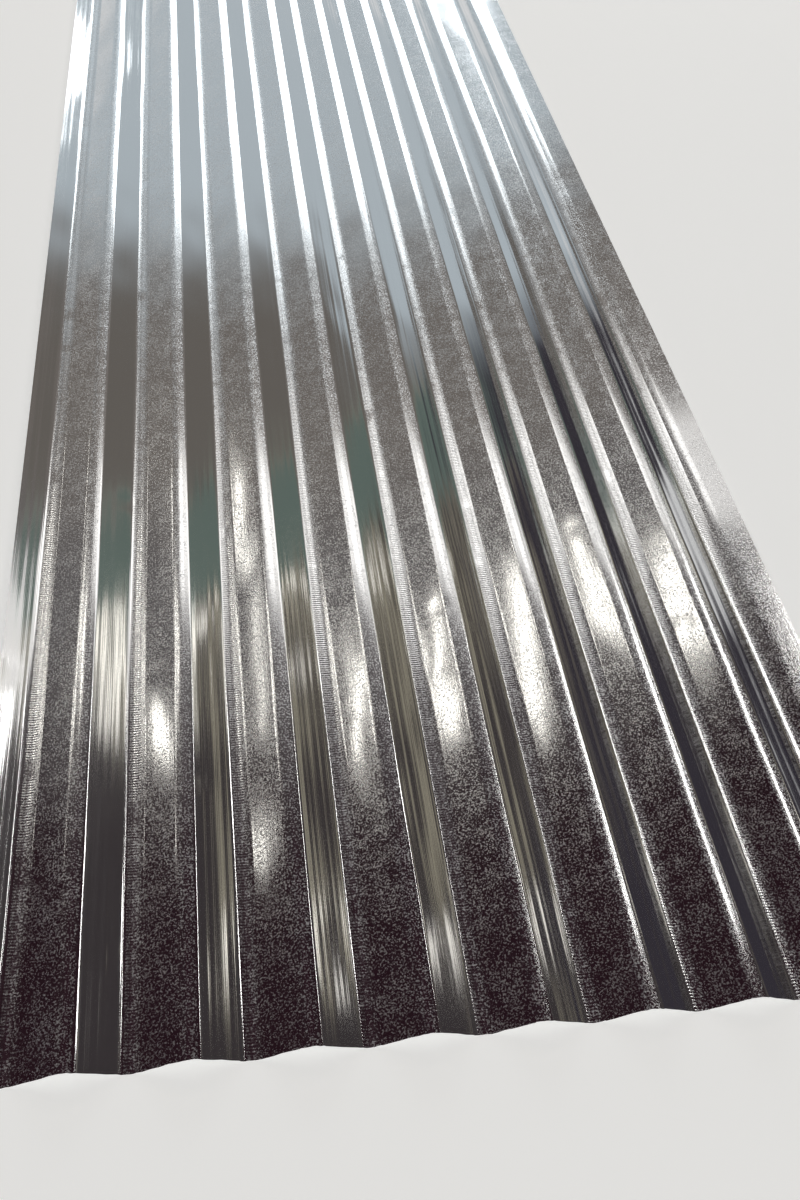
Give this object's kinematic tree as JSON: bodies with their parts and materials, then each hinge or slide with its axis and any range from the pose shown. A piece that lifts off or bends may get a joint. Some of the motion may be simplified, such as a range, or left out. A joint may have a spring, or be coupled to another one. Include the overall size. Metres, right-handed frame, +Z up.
{
  "type": "corrugated metal sheet",
  "caption": "Straight rectangular sheet of galvanised steel rolled into round waves, with one plain edge and one flanged edge, for roofing, cladding and fencing.",
  "frame": {"origin": "middle of the sheet's outline, on the plane that the undersides of its valleys lie on", "axes": "+Y along the waves, +X across them from the plain edge to the flanged edge, +Z up"},
  "size_m": [0.6761, 2.4, 0.0155],
  "materials": {
    "galvanised_steel": "bright zinc with a fine spangle"
  },
  "bodies": {
    "root": {"corrugated_sheet": "galvanised_steel"}
  },
  "joints": []
}
